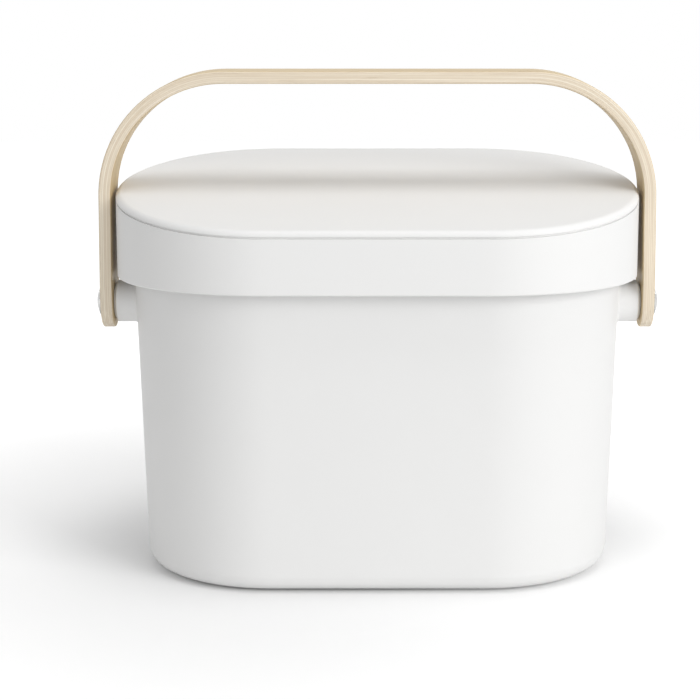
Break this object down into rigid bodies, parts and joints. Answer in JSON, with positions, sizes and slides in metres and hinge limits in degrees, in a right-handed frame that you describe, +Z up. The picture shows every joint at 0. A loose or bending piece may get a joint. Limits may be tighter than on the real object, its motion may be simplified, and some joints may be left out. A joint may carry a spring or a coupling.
{
  "type": "countertop compost caddy",
  "caption": "Oblong countertop compost caddy: tapered bin, forward-sloping hinged lid and a bent laminated wood carrying handle on side pivots.",
  "frame": {"origin": "centre of the bin's base in plan, on the table", "axes": "+X along the bin's long plan axis, to the right seen from the front; -Y out of the front; +Z up"},
  "size_m": [0.2606, 0.1523, 0.2298],
  "materials": {
    "white_plastic": "satin",
    "silicone": "matte",
    "ash_wood": "satin",
    "steel": "brushed",
    "brass": "satin",
    "nylon": "matte",
    "pad_rubber": "matte"
  },
  "bodies": {
    "bin": {"bin_body": "white_plastic", "pivot_bolt_left": "steel", "pivot_bolt_right": "steel", "pivot_washer_left": "nylon", "pivot_washer_right": "nylon", "pivot_insert_left": "brass", "pivot_insert_right": "brass", "hinge_pin_left": "steel", "hinge_pin_right": "steel", "base_pad": "pad_rubber"},
    "lid": {"lid_shell": "white_plastic", "lid_seal": "silicone"},
    "handle": {"handle_strap": "ash_wood"}
  },
  "joints": [
    {"name": "lid_hinge", "type": "hinge", "parent": "bin", "child": "lid", "pos_m": [0, 0.0763, 0.124], "axis": [-1, 0, 0], "range_deg": [0, 72]},
    {"name": "handle_swing", "type": "hinge", "parent": "bin", "child": "handle", "pos_m": [0, 0, 0.1232], "axis": [1, 0, 0], "range_deg": [-136, 130]}
  ],
  "couplings": [
    {"joint": "handle_swing", "follows": "lid_hinge", "ratio": 1.8}
  ]
}
